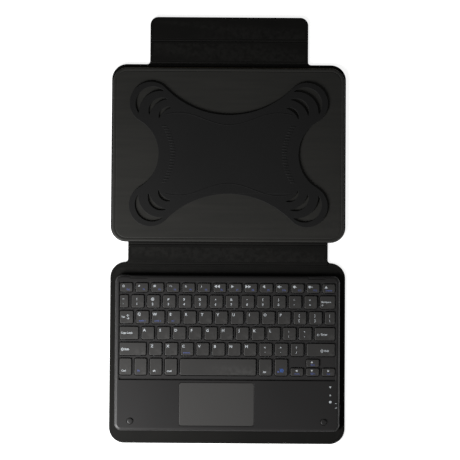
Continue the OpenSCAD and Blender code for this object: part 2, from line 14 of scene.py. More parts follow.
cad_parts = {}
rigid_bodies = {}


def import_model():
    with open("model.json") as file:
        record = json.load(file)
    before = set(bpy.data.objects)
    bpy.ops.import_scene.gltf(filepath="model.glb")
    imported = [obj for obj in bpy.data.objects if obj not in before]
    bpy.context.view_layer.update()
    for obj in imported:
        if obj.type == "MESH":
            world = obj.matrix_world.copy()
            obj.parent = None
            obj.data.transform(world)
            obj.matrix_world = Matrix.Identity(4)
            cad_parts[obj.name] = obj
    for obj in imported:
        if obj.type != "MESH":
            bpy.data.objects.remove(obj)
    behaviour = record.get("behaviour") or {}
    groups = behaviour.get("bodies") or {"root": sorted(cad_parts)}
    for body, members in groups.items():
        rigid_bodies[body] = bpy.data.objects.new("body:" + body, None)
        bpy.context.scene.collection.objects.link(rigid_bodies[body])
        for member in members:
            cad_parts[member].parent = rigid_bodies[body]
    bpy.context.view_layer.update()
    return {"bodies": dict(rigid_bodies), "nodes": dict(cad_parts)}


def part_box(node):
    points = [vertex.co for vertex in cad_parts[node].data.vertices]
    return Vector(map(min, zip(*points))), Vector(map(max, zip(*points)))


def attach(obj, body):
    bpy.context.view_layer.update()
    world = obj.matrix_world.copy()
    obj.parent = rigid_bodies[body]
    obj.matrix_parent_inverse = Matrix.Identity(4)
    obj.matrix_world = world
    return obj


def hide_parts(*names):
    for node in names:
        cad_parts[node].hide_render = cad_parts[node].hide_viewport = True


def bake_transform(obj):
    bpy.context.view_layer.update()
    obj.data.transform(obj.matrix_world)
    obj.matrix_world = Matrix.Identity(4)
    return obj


for leftover in list(bpy.data.objects):
    bpy.data.objects.remove(leftover)
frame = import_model()
MM = 0.001

# %% [markdown]
# ## Effects that several materials share
# Grain, brushing and fine moulded texture are all height fields: a pattern that is high here
# and low there. Each one is a node group with the same two outputs. Tone says how light the
# surface is at a point, and Height feeds a bump. Because the sockets are alike, one small
# recipe can build every material, and only the group and its numbers change.

# %% A helper that starts a node group
def start_effect(name, **values):
    """A node group with float inputs of the given defaults, and outputs Tone and Height."""
    group = bpy.data.node_groups.new(name, "ShaderNodeTree")
    for label, value in values.items():
        socket = group.interface.new_socket(label, in_out="INPUT",
                                            socket_type="NodeSocketFloat")
        socket.default_value = value
    for label in ("Tone", "Height"):
        group.interface.new_socket(label, in_out="OUTPUT", socket_type="NodeSocketFloat")
    entry = group.nodes.new("NodeGroupInput")
    leave = group.nodes.new("NodeGroupOutput")
    return group, entry.outputs, leave.inputs


# %% Small helpers that write nodes
def add(tree, kind, settings=None, **plugs):
    """One node, its settings, and what is plugged into its named or numbered inputs."""
    node = tree.nodes.new("ShaderNode" + kind)
    for key, value in (settings or {}).items():
        setattr(node, key, value)
    for key, value in plugs.items():
        socket = node.inputs[int(key[1:])] if key[0] == "i" and key[1:].isdigit() \
            else node.inputs[key.replace("_", " ")]
        if isinstance(value, bpy.types.NodeSocket):
            tree.links.new(value, socket)
        else:
            socket.default_value = value
    return node


def stretched(tree, stretch):
    """Object coordinates, squeezed or stretched along each axis."""
    place = add(tree, "TexCoord")
    return add(tree, "Mapping", Vector=place.outputs["Object"], Scale=stretch).outputs[0]


def noise(tree, vector, scale, detail=3.0, roughness=0.55):
    """Fractal noise from 0 to 1."""
    return add(tree, "TexNoise", Vector=vector, Scale=scale, Detail=detail,
               Roughness=roughness).outputs[0]


def maths(tree, operation, a, b, c=0.5):
    """One sum of two or three values."""
    return add(tree, "Math", {"operation": operation}, i0=a, i1=b, i2=c).outputs[0]


def remap(tree, value, low, high, to_low=0.0, to_high=1.0):
    """Stretches the range low..high of a value to to_low..to_high, and clips it there."""
    return add(tree, "MapRange", Value=value, From_Min=low, From_Max=high, To_Min=to_low,
               To_Max=to_high).outputs[0]


# %% [markdown]
# Leather grain is a field of small flat pebbles with creases between them. A Voronoi pattern's
# distance to its cell edges is just that, low along the creases. A slow noise on top gives the
# patches where the hide took the dye differently.

# %% Leather grain
leather_grain, given, out = start_effect("leather_grain", Pebbles=1100.0, Patches=22.0)
spot = stretched(leather_grain, (1, 1, 1))
drift = noise(leather_grain, spot, 300.0)
warp = add(leather_grain, "VectorMath", {"operation": "MULTIPLY_ADD"},
           i0=drift, i1=(0.0012, 0.0012, 0.0012), i2=spot).outputs[0]
cells = add(leather_grain, "TexVoronoi", {"feature": "DISTANCE_TO_EDGE"}, Vector=warp,
            Scale=given["Pebbles"]).outputs["Distance"]
pebble = remap(leather_grain, cells, 0.0, 0.28)
patches = noise(leather_grain, spot, given["Patches"], 1.5)
out_tone = maths(leather_grain, "MULTIPLY_ADD", pebble, 0.5,
                 remap(leather_grain, patches, 0.3, 0.75, 0.0, 0.5))
leather_grain.links.new(out_tone, out["Tone"])
leather_grain.links.new(pebble, out["Height"])

# %% [markdown]
# The tray is covered in a book cloth look: very fine threads that run from side to side. Noise
# that is stretched along X makes such threads, and a second, broader set gives the slow light
# and dark bars that a brushed surface shows.

# %% Brushed threads
brushed_threads, given, out = start_effect("brushed_threads", Threads=1.0, Bars=1.0)
thin = noise(brushed_threads, stretched(brushed_threads, (60, 900, 400)), given["Threads"])
bars = noise(brushed_threads, stretched(brushed_threads, (14, 260, 90)), given["Bars"], 2.0)
cloud = noise(brushed_threads, stretched(brushed_threads, (11, 11, 11)), 1.0, 3.0)
streak = maths(brushed_threads, "MULTIPLY_ADD", remap(brushed_threads, bars, 0.32, 0.7), 0.4,
               remap(brushed_threads, cloud, 0.3, 0.7, 0.0, 0.3))
out_tone = maths(brushed_threads, "MULTIPLY_ADD", thin, 0.15, streak)
brushed_threads.links.new(out_tone, out["Tone"])
brushed_threads.links.new(maths(brushed_threads, "ADD", thin, bars), out["Height"])

# %% [markdown]
# Moulded plastic and rubber copy the spark-eroded skin of their mould: an even, very fine
# sparkle with faint clouds where the mould is more worn.

# %% Moulded speckle
moulded_speckle, given, out = start_effect("moulded_speckle", Sparkle=3200.0, Clouds=12.0)
spot = stretched(moulded_speckle, (1, 1, 1))
sparkle = noise(moulded_speckle, spot, given["Sparkle"], 2.0)
clouds = noise(moulded_speckle, spot, given["Clouds"], 1.0)
out_tone = maths(moulded_speckle, "MULTIPLY_ADD", remap(moulded_speckle, sparkle, 0.35, 0.65),
                 0.6, remap(moulded_speckle, clouds, 0.3, 0.7, 0.0, 0.4))
moulded_speckle.links.new(out_tone, out["Tone"])
moulded_speckle.links.new(sparkle, out["Height"])

# %% [markdown]
# Metal foil, board and circuit parts show short rolled or pressed fibres. Noise stretched along
# Y does for all of them.

# %% Pressed fibres
pressed_fibres, given, out = start_effect("pressed_fibres", Fibres=1.0, Blotches=1.0)
fibre = noise(pressed_fibres, stretched(pressed_fibres, (900, 160, 900)), given["Fibres"])
blotch = noise(pressed_fibres, stretched(pressed_fibres, (60, 60, 60)), given["Blotches"])
out_tone = maths(pressed_fibres, "MULTIPLY_ADD", fibre, 0.6,
                 remap(pressed_fibres, blotch, 0.3, 0.7, 0.0, 0.4))
pressed_fibres.links.new(out_tone, out["Tone"])
pressed_fibres.links.new(fibre, out["Height"])

# %% [markdown]
# Edges that hands and bags rub become a little lighter and smoother. Cycles can tell an edge by
# its pointiness, and a noise breaks the line up so that it doesn't look drawn on.

# %% Edge wear
edge_wear = bpy.data.node_groups.new("edge_wear", "ShaderNodeTree")
socket = edge_wear.interface.new_socket("Amount", in_out="INPUT", socket_type="NodeSocketFloat")
socket.default_value = 0.5
edge_wear.interface.new_socket("Mask", in_out="OUTPUT", socket_type="NodeSocketFloat")
entry, leave = edge_wear.nodes.new("NodeGroupInput"), edge_wear.nodes.new("NodeGroupOutput")
convex = add(edge_wear, "NewGeometry").outputs["Pointiness"]
rubbed = remap(edge_wear, convex, 0.56, 0.68)
broken = remap(edge_wear, noise(edge_wear, stretched(edge_wear, (1, 1, 1)), 240.0), 0.35, 0.6)
mask = maths(edge_wear, "MULTIPLY", maths(edge_wear, "MULTIPLY", rubbed, broken),
             entry.outputs["Amount"])
edge_wear.links.new(mask, leave.inputs["Mask"])
print("shared effects:", [group.name for group in bpy.data.node_groups])

# %% [markdown]
# ## One recipe for every finish
# A finish mixes two colours by its effect's Tone, lightens worn edges, runs its roughness
# between two values by the same Tone, and bumps the surface by Height. What is equal all over,
# such as how metallic it is or its sheen, is set straight on the shader.

# %% The finish recipe
def linear(code):
    """An sRGB colour such as '2a2a28' as the linear RGBA that shaders use."""
    value = np.array([int(code[i:i + 2], 16) for i in (0, 2, 4)]) / 255
    value = np.where(value <= 0.04045, value / 12.92, ((value + 0.055) / 1.055) ** 2.4)
    return (*value.tolist(), 1.0)


def finish(name, effect, dark, light, rough, bump, wear=0.3, sizes=(), **shader):
    """A material made from one shared effect. bump is (strength, depth in mm)."""
    made = bpy.data.materials.new(name)
    made.use_nodes = True
    tree = made.node_tree
    surface = tree.nodes["Principled BSDF"]
    pattern = tree.nodes.new("ShaderNodeGroup")
    pattern.node_tree = effect
    for socket, value in zip(pattern.inputs, sizes):
        socket.default_value = value
    edges = tree.nodes.new("ShaderNodeGroup")
    edges.node_tree = edge_wear
    edges.inputs["Amount"].default_value = wear
    tone = pattern.outputs["Tone"]
    base = add(tree, "Mix", {"data_type": "RGBA"}, i0=tone, i6=linear(dark), i7=linear(light))
    worn = add(tree, "Mix", {"data_type": "RGBA"}, i0=edges.outputs["Mask"],
               i6=base.outputs[2], i7=tuple(min(1.0, 2.2 * c + 0.02) for c in linear(light)))
    tree.links.new(worn.outputs[2], surface.inputs["Base Color"])
    tree.links.new(remap(tree, tone, 0.0, 1.0, *rough), surface.inputs["Roughness"])
    strength, depth = bump
    raised = add(tree, "Bump", Strength=strength, Distance=depth * MM,
                 Height=pattern.outputs["Height"])
    tree.links.new(raised.outputs[0], surface.inputs["Normal"])
    for key, value in shader.items():
        surface.inputs[key.replace("_", " ")].default_value = value
    return made


# %% [markdown]
# The finishes are listed under the names of the record's material slots, and each slot of a CAD
# part is given the finish of that name. The hidden parts get one too: someone who opens the
# model up should find cardboard, nickel and circuit green inside.

# %% All finishes
finishes = {
    "leather": finish("case_leather", leather_grain, "161615", "1e1d1b", (0.55, 0.68),
                      (0.2, 0.08), 0.2, Specular_IOR_Level=0.15),
    "lining": finish("inner_lining", leather_grain, "161615", "1e1d1b", (0.58, 0.7),
                     (0.15, 0.06), 0.2, (1500.0, 30.0), Specular_IOR_Level=0.15),
    "tray": finish("tray_cloth", brushed_threads, "333331", "3c3b38", (0.5, 0.62),
                   (0.06, 0.05), 0.1, Specular_IOR_Level=0.3),
    "silicone": finish("soft_silicone", moulded_speckle, "202020", "262626", (0.6, 0.7),
                       (0.05, 0.02), 0.3, (1500.0, 10.0), Specular_IOR_Level=0.25),
    "housing": finish("keyboard_housing", moulded_speckle, "282727", "2c2b2b", (0.4, 0.48),
                      (0.05, 0.02), 0.0, Specular_IOR_Level=0.5),
    "key_plastic": finish("key_caps", moulded_speckle, "3d3c3b", "434241", (0.42, 0.52),
                          (0.05, 0.015), 0.3, (3600.0, 12.0), Specular_IOR_Level=0.5),
    "touch": finish("touch_surface", moulded_speckle, "484746", "4c4b4a", (0.35, 0.42),
                    (0.03, 0.01), 0.0, (4200.0, 10.0), Specular_IOR_Level=0.5),
    "light": finish("light_windows", moulded_speckle, "4d4c4a", "6a6966", (0.2, 0.3),
                    (0.05, 0.01), 0.1, (2600.0, 90.0)),
    "steel": finish("plated_steel", pressed_fibres, "7d7f82", "b6b8ba", (0.22, 0.42),
                    (0.08, 0.01), 0.2, Metallic=1.0),
    "magnet": finish("nickel_magnet", pressed_fibres, "8a8c8e", "c5c6c8", (0.15, 0.3),
                     (0.05, 0.01), 0.2, Metallic=1.0),
    "stiff_board": finish("grey_board", pressed_fibres, "7a705f", "a2967f", (0.8, 0.95),
                          (0.3, 0.05), 0.1),
    "film": finish("printed_film", pressed_fibres, "a5adb2", "c6cdd1", (0.25, 0.4),
                   (0.05, 0.01), 0.1, Alpha=0.9),
    "dome_rubber": finish("dome_rubber", moulded_speckle, "8e948e", "b9bfb8", (0.5, 0.65),
                          (0.1, 0.02), 0.1),
    "circuit": finish("circuit_board", pressed_fibres, "0f3d22", "1f6338", (0.3, 0.5),
                      (0.1, 0.02), 0.1),
    "cell": finish("foil_cell", pressed_fibres, "9b9c9c", "c9cacb", (0.25, 0.45),
                   (0.15, 0.03), 0.2, Metallic=0.8),
    "glue": finish("clear_glue", pressed_fibres, "b7ae94", "d1c9b1", (0.3, 0.5),
                   (0.1, 0.02), 0.0),
}
# The deck's plastic is the housing's, painted a lighter grey to offset the shade the keys cast on the
# deck.
deck_painted_lighter = finish("black_deck", moulded_speckle, "313030", "363535", (0.5, 0.6), (0.05, 0.02),
                    0.0, Specular_IOR_Level=0.3)
white_ink = finish("white_ink", moulded_speckle, "c9d1d8", "eef3f6", (0.45, 0.6),
                   (0.1, 0.01), 0.0, (2400.0, 120.0))
blue_ink = finish("blue_ink", moulded_speckle, "4a568f", "6d7ab8", (0.45, 0.6),
                  (0.1, 0.01), 0.0, (2400.0, 120.0))
bright_ink = finish("bright_blue_ink", moulded_speckle, "2d62c4", "4f8af0", (0.4, 0.55),
                    (0.1, 0.01), 0.0, (2400.0, 120.0))
inks = (white_ink, blue_ink, bright_ink)
print(len(finishes) + 1 + len(inks), "finishes")

for node in frame["nodes"].values():
    for place in node.material_slots:
        place.material = finishes[place.material.name.split(".")[0]]

# %% [markdown]
# ## Shapes from loops
# Nearly every part here is a flat thing with rounded corners: a panel, a key, the housing, the
# touchpad. Such a part is a stack of loops, each one the outline drawn a little further in, at
# its own height. Two functions do all of it. The first draws the loops inside any outline with
# square corners. The second skins a stack of them and closes it at both ends.

# %% Rounded loops
SHARP = 0.05 * MM       # the least radius of a corner, so that no arc has zero length


def rounded(corners, radius, inset, arc=6):
    """Loops inside an outline with square corners, one for each inset.

    u and v are the directions of the two sides at a corner; their left-hand normals point in.
    The corner moves by inset times both normals. Its arc starts a radius r before the corner
    and ends r after it: corner - u r (1 - sin t) + v r (1 - cos t), t from 0 to 90 degrees,
    where r is radius - inset at an outer corner and radius + inset at an inner one."""
    corners = np.asarray(corners, float)
    corners = corners.reshape(-1, 1, *corners.shape[-2:])
    v = np.roll(corners, -1, axis=-2) - corners
    v /= np.linalg.norm(v, axis=-1, keepdims=True)
    u = np.roll(v, 1, axis=-2)
    normals = np.stack([-u[..., 1] - v[..., 1], u[..., 0] + v[..., 0]], axis=-1)
    turn = np.sign(u[..., 0] * v[..., 1] - u[..., 1] * v[..., 0])[..., None]
    s = np.asarray(inset, float)[:, None, None]
    r = np.maximum(np.asarray(radius, float)[..., None] - s * turn, SHARP)[..., None]
    t = np.linspace(0, math.pi / 2, arc + 1)[:, None]
    tip = (corners + s * normals)[..., None, :]
    loops = tip - u[..., None, :] * r * (1 - np.sin(t)) + v[..., None, :] * r * (1 - np.cos(t))
    return loops.reshape(*loops.shape[:2], -1, 2)


# %% The skin over a stack of loops
def skin(loops, heights):
    """Vertices and faces of closed skins over stacks of loops.

    loops is (stacks, rings, points, 2) and heights gives each ring its z. Ring i joins ring
    i + 1 in squares, and the first and last rings are closed by one flat face each."""
    k, p, n = loops.shape[:3]
    z = np.broadcast_to(np.asarray(heights, float), (k, p))[:, :, None, None]
    points = np.concatenate([loops, np.broadcast_to(z, (k, p, n, 1))], axis=-1)
    at = np.arange(k * p * n).reshape(k, p, n)
    on = np.roll(at, -1, axis=2)
    walls = np.stack([at[:, :-1], on[:, :-1], on[:, 1:], at[:, 1:]], axis=-1).reshape(-1, 4)
    return points.reshape(-1, 3), walls.tolist() + at[:, 0, ::-1].tolist() + at[:, -1].tolist()


def box_outline(low, high):
    """The four corners of a box seen from above, counter-clockwise, as (x, y)."""
    return [(low[0], low[1]), (high[0], low[1]), (high[0], high[1]), (low[0], high[1])]


def slab(corners, radius, profile, arc=6):
    """A stack from a profile of (inset, height) pairs in millimetres."""
    profile = np.asarray(profile, float) * MM
    return skin(rounded(corners, radius, profile[:, 0], arc), profile[:, 1])


print("a block has", len(slab(box_outline((0, 0), (1, 1)), 0, [(0, 0), (0, 1)])[1]), "faces")

# %% [markdown]
# The surfaces become objects in one place, so that smooth shading, the finish and the body they
# move with are never forgotten. Edges sharper than about 35 degrees stay crisp; the rest shades
# as a curve.

# %% From surfaces to pieces
CRISP = math.radians(35)


def merged(parts):
    """Several (vertices, faces) surfaces as one."""
    start, points, faces = 0, [], []
    for vertices, polygons in parts:
        points.append(vertices)
        faces += [[start + i for i in face] for face in polygons]
        start += len(vertices)
    return np.concatenate(points), faces


def to_mesh(name, surface):
    """A Blender mesh with smooth shading between its crisp edges."""
    mesh = bpy.data.meshes.new(name)
    mesh.from_pydata(surface[0].tolist(), [], surface[1])
    mesh.shade_smooth()
    mesh.set_sharp_from_angle(angle=CRISP)
    return mesh


def piece(name, shape, slot, body=None, replaces=(), material=None):
    """An object at the origin with its finish, from a mesh or from a (vertices, faces) surface.
    It rides on a body when one is given."""
    mesh = to_mesh(name, shape) if isinstance(shape, tuple) else shape
    made = bpy.data.objects.new(name, mesh)
    bpy.context.scene.collection.objects.link(made)
    mesh.materials.clear()
    mesh.materials.append(material or finishes[slot])
    if replaces:
        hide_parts(*replaces)
    if body:
        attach(made, body)
    print(f"{name}: {len(mesh.polygons)} faces")
    return made


# %% Openings
def carve(surface, cutters, overlapping=False):
    """The surface with the cutters taken away from it, by an exact boolean."""
    block = bpy.data.objects.new("block", to_mesh("block", surface))
    tool = bpy.data.objects.new("tool", to_mesh("tool", merged(cutters)))
    for helper in (block, tool):
        bpy.context.scene.collection.objects.link(helper)
    cut = block.modifiers.new("cut", "BOOLEAN")
    cut.operation, cut.solver, cut.object = "DIFFERENCE", "EXACT", tool
    cut.use_self = overlapping
    view = bpy.context.evaluated_depsgraph_get()
    result = bpy.data.meshes.new_from_object(block.evaluated_get(view))
    for helper in (block, tool):
        bpy.data.objects.remove(helper)
    result.shade_smooth()
    result.set_sharp_from_angle(angle=CRISP)
    return result


# %% [markdown]
# ## Leather panels
# A case maker lays a board on the leather, turns the edges over it and glues a lining inside
# the turned edge. So each panel is a rounded slab with a shallow tray cut into it: the board
# and the lining lie in the tray, and the thin seam round the lining is the line seen a few
# millimetres in from the edge. Where a panel meets a fold, its end is cut straight, so that the
# fold leather continues it without a step.

# %% Section of a panel
THICK = 2.0
LEATHER_FLOOR = 0.6
TURNED_EDGE = [(2.0, 0), (1.1, 0), (0.9, 0), (0.4, 0.1), (0.1, 0.38), (0, 0.75), (0, 1.3),
               (0.1, 1.64), (0.38, 1.92), (0.75, 2.0), (0.85, 2.0)]
SEAM = [(0, LEATHER_FLOOR), (0, 1.86), (-0.14, 1.97), (-0.2, 2.4)]
TURN_IN = 3.3 * MM      # from the panel's edge to the board's
SQUARE = 0.3 * MM       # the radius of a board's corner at a fold
BEYOND = 6 * MM         # how far a shape runs on before it is cut straight
print("panel thickness", TURNED_EDGE[-1][1], "mm")


# %% The panel recipe
def straight_cut(x0, x1, y0, y1):
    """A block that removes everything between two lines, through the whole thickness."""
    return slab(box_outline((x0, y0), (x1, y1)), 0, [(0, -5), (0, 9)])


def cut_before(y):
    """A straight cut that ends the panel at a fold in front of it."""
    return straight_cut(-1, 1, y - 3 * BEYOND, y)


def cut_behind(y):
    """A straight cut that ends the panel at a fold behind it."""
    return straight_cut(-1, 1, y, y + 3 * BEYOND)


def panel(name, part, body, corners, radii, cuts):
    """A turned-edge panel: a rounded slab, minus the tray for its board, minus end cuts."""
    low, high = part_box(f"{part}_board")
    board_radius = max(np.max(radii) - TURN_IN, SQUARE)
    board_radii = [board_radius if r > MM else SQUARE for r in np.broadcast_to(radii, 4)] \
        if len(corners) == 4 else SQUARE
    tray = slab(box_outline(low, high), board_radii, SEAM)
    surface = slab(corners, radii, TURNED_EDGE, 10)
    return piece(name, carve(surface, [tray, *cuts]), "leather", body, [f"{part}_skin"])


def inlay(name, part, body, radii):
    """The lining in its tray: a thin slab with a softly rolled edge."""
    low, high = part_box(f"{part}_lining")
    z0, z1 = low.z / MM, high.z / MM
    profile = [(0.05, z0), (0.02, z0 + 0.1), (0.02, z1 - 0.14), (0.16, z1 - 0.02),
               (0.4, z1), (0.5, z1)]
    return piece(name, slab(box_outline(low, high), radii, profile), "lining", body,
                 [f"{part}_lining"])


# %% [markdown]
# The keyboard half has a shallow notch in its top edge, as wide as the spine, where the fold
# starts. The spine flares into the panel with a small curve at each side, so that the leather
# doesn't tear there: its outline is a T at that end, and the inner corner's radius is the
# flare.

# %% Sizes of the panels
CORNER = 16.5 * MM
FLAP_CORNER = 8.6 * MM
FLARE = 3.2 * MM
NOTCH_DEPTH = 3.0 * MM
NOTCH_PLAY = 0.02 * MM
base_low, base_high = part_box("base_skin")
spine_low, spine_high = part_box("spine_skin")
lower_low, lower_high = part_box("back_lower_skin")
upper_low, upper_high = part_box("back_upper_skin")
root_low, root_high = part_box("flap_root_skin")
tip_low, tip_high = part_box("flap_tip_skin")
notch_y = spine_low.y - NOTCH_DEPTH
half = spine_high.x
run_on = Vector((0, BEYOND, 0))
print("spine", round((spine_high.y - spine_low.y) / MM, 1), "mm wide")

# %% The keyboard panel and the spine
notch = straight_cut(-half - NOTCH_PLAY, half + NOTCH_PLAY, notch_y, base_high.y + BEYOND)
panel("keyboard_panel", "base", "keyboard_half",
      box_outline(base_low, base_high), [CORNER] * 4, [notch])
inlay("keyboard_panel_lining", "base", "keyboard_half", CORNER - TURN_IN)

flared = half + FLARE * 2
right_side = [(flared, spine_low.y - BEYOND), (flared, base_high.y), (half, base_high.y),
              (half, spine_high.y + BEYOND)]
spine_outline = [(-flared, spine_low.y - BEYOND)] + right_side \
    + [(-x, y) for x, y in right_side[:0:-1]]
panel("spine_leather", "spine", "spine", spine_outline,
      [0, 0, FLARE, FLARE, 0, 0, FLARE, FLARE],
      [cut_before(spine_low.y), cut_behind(spine_high.y)])
inlay("spine_inner_lining", "spine", "spine", SQUARE)

# %% The back cover and the flap
panel("back_panel_lower", "back_lower", "back_lower",
      box_outline(lower_low, lower_high + run_on), [CORNER, CORNER, 0, 0],
      [cut_behind(lower_high.y)])
inlay("back_lower_inner_lining", "back_lower", "back_lower",
      [CORNER - TURN_IN] * 2 + [SQUARE] * 2)
panel("back_panel_upper", "back_upper", "back_upper",
      box_outline(upper_low - run_on, upper_high), [0, 0, CORNER, CORNER],
      [cut_before(upper_low.y)])

panel("flap_root_leather", "flap_root", "flap_root",
      box_outline(root_low - run_on, root_high + run_on), [0, 0, 0, 0],
      [cut_before(root_low.y), cut_behind(root_high.y)])
inlay("flap_root_inner_lining", "flap_root", "flap_root", SQUARE)
panel("flap_tip_leather", "flap_tip", "flap_tip",
      box_outline(tip_low - run_on, tip_high), [0, 0, FLAP_CORNER, FLAP_CORNER],
      [cut_before(tip_low.y)])
inlay("flap_tip_inner_lining", "flap_tip", "flap_tip",
      [SQUARE] * 2 + [FLAP_CORNER - TURN_IN] * 2)

# %% [markdown]
# ## Fold leather
# Between two boards the leather is soft, and the fold happens there.

# %% The fold strips
CREASE_DEPTH, CREASE_SPREAD = 0.35, 0.22
STRIP_RINGS = 25


def fold_strip(name, y0, y1, half_width, flare_at=None):
    """Leather between two panels, with the panels' rounded section carried along Y.

    The section is the turned edge at both sides. Along the strip the thickness about its middle
    is 1 - depth exp(-(s / spread)^2), where s runs from -1 to 1 across the fold. Near flare_at
    the sides widen by R - sqrt(R^2 - (R - d)^2), d from the panel's edge: a quarter circle."""
    y = np.linspace(y0, y1, STRIP_RINGS)
    s = (y - (y0 + y1) / 2) / ((y1 - y0) / 2)
    thickness = 1 - CREASE_DEPTH * np.exp(-(s / CREASE_SPREAD) ** 2)
    spread = np.zeros_like(y)
    if flare_at is not None:
        d = np.clip(FLARE - np.abs(y - flare_at), 0, FLARE)
        spread = FLARE - np.sqrt(FLARE ** 2 - d ** 2)
    edge = np.asarray(TURNED_EDGE) * MM
    inset, height = edge[:, 0], edge[:, 1]
    x = half_width + spread[:, None] - inset
    middle = THICK / 2 * MM
    z = middle + (height - middle) * thickness[:, None]
    ring = np.stack([np.concatenate([x, -x[:, ::-1]], 1), np.concatenate([z, z[:, ::-1]], 1)], -1)
    points, faces = skin(ring[None], y)
    points = points[:, [0, 2, 1]]
    faces = [face[::-1] for face in faces]
    strip = piece(name, (points, faces), "leather")
    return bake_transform(strip)


fold_strip("spine_fold_leather", notch_y, spine_low.y, half)
fold_strip("back_fold_leather", spine_high.y, lower_low.y, half)
fold_strip("easel_fold_leather", lower_high.y, upper_low.y,
           lower_high.x)
fold_strip("flap_fold_leather", upper_high.y, root_low.y,
           root_high.x, flare_at=upper_high.y)
fold_strip("flap_crease_leather", root_high.y, tip_low.y, root_high.x)

# %% [markdown]
# ## The tablet tray
# A second board, wrapped in cloth with rolled edges, is glued onto the back cover and makes the
# bed for the tablet. A line is pressed all round, a few millimetres in. The wrap is hollow
# underneath, where its board sits, so the stack of loops starts inside, runs down the inner
# wall, out under the rim, up the rolled edge and in over the top, dipping once for the line.

# %% The tray cover
tray_low, tray_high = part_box("tray_cover")
board_low, board_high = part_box("tray_board")
TRAY_TOP = tray_high.z / MM
TRAY_UNDER = tray_low.z / MM
TRAY_CORNER = 15 * MM
wall = (tray_high.x - board_high.x) / MM
TRAY_PROFILE = [
    (wall + 4, board_high.z / MM), (wall, board_high.z / MM), (wall, TRAY_UNDER),
    (0.8, TRAY_UNDER), (0.3, TRAY_UNDER + 0.12), (0.0, TRAY_UNDER + 0.6),
    (0.0, TRAY_UNDER + 1.0), (0.12, TRAY_TOP - 0.55), (0.45, TRAY_TOP - 0.2),
    (1.0, TRAY_TOP - 0.03), (1.6, TRAY_TOP), (2.9, TRAY_TOP), (3.2, TRAY_TOP - 0.08),
    (3.45, TRAY_TOP - 0.22), (3.7, TRAY_TOP - 0.22), (3.95, TRAY_TOP - 0.08),
    (4.25, TRAY_TOP), (4.5, TRAY_TOP)]
tray_wrap = slab(box_outline(tray_low, tray_high), TRAY_CORNER, TRAY_PROFILE, 14)
piece("tray_wrap", tray_wrap, "tray", "back_upper", ["tray_cover"])

# %% [markdown]
# ## The silicone gripper
# The pad has four round lobes, one for each corner of the tablet. Three crescent windows in
# each lobe leave bands that stretch over the corners, one set for each tablet size. Its outline
# is eight arcs that touch each other smoothly. A lobe is its middle and radius, and the waist is
# where the side and end arcs come closest to the pad's middle, all in millimetres. A window is
# its middle, radius, width and the angle to each of its tips. A filled flat curve turns the
# outline and its windows into a solid, with a rounded rim from the curve's own bevel.

# %% Sizes of the gripper, and circles that touch
RIM = 0.3
LOBE = (84.1, 55.3, 22.8)
WAIST = (75.4, 42.7)
CRESCENTS = [(82.0, 54.4, 18.3, 7.6, 84), (72.1, 46.4, 14.2, 4.5, 66),
             (65.3, 40.8, 10.0, 3.2, 62)]
LEAN = 48


def touching(along, across, radius, waist):
    """Centre distance and radius of a circle that passes the waist and touches the lobe.

    c = (a^2 + b^2 - (r - w)^2) / (2 (a + r - w)) and its radius is c - w, where a and b are
    the lobe's distances along and across the circle's own axis."""
    step = radius - waist
    centre = (along ** 2 + across ** 2 - step ** 2) / (2 * (along + step))
    return centre, centre - waist


SIDE_ARC = touching(LOBE[0], LOBE[1], LOBE[2], WAIST[0])
END_ARC = touching(LOBE[1], LOBE[0], LOBE[2], WAIST[1])
print("radii of the side and end arcs:", round(SIDE_ARC[1], 1), round(END_ARC[1], 1), "mm")


# %% Outline and windows of the gripper
def arc(x, y, radius, a0, a1, steps):
    """Points on a circle about (x, y) from angle a0 to a1, in degrees."""
    t = np.radians(np.linspace(a0, a1, steps))
    return np.stack([x + radius * np.cos(t), y + radius * np.sin(t)], axis=-1)


def gripper_outline(grow):
    """One half of the outline is a side arc, a lobe, an end arc and a lobe; the other half is
    the same turned by half a turn. grow moves it outwards."""
    x, y, r = LOBE
    side = math.degrees(math.atan2(y, SIDE_ARC[0] - x))
    end = math.degrees(math.atan2(END_ARC[0] - y, x))
    parts = [arc(SIDE_ARC[0], 0, SIDE_ARC[1] - grow, 180 + side, 180 - side, 20)[:-1],
             arc(x, y, r + grow, -side, 180 - end, 40)[:-1],
             arc(0, END_ARC[0], END_ARC[1] - grow, -end, end - 180, 40)[:-1],
             arc(-x, y, r + grow, end, 180 + side, 40)[:-1]]
    first = np.concatenate(parts)
    return np.concatenate([first, -first])


def crescent(x, y, r, width, span, grow, mirror):
    """The gap between two circles through the same two tips. The inner circle's radius is
    r - width + shift, with its centre moved back by shift towards the pad's middle, where
    shift = (r^2 - (r - width)^2) / (2 (r - width - r cos span))."""
    thin = r - width
    shift = (r ** 2 - thin ** 2) / (2 * (thin - r * math.cos(math.radians(span))))
    tip = math.degrees(math.atan2(r * math.sin(math.radians(span)),
                                  r * math.cos(math.radians(span)) + shift))
    back = np.array([math.cos(math.radians(LEAN)), math.sin(math.radians(LEAN))]) * shift
    outer = arc(x, y, r + grow, LEAN - span, LEAN + span, 30)
    inner = arc(x - back[0], y - back[1], thin + shift - grow, LEAN + tip, LEAN - tip, 30)
    return np.concatenate([outer, inner[1:-1]]) * mirror


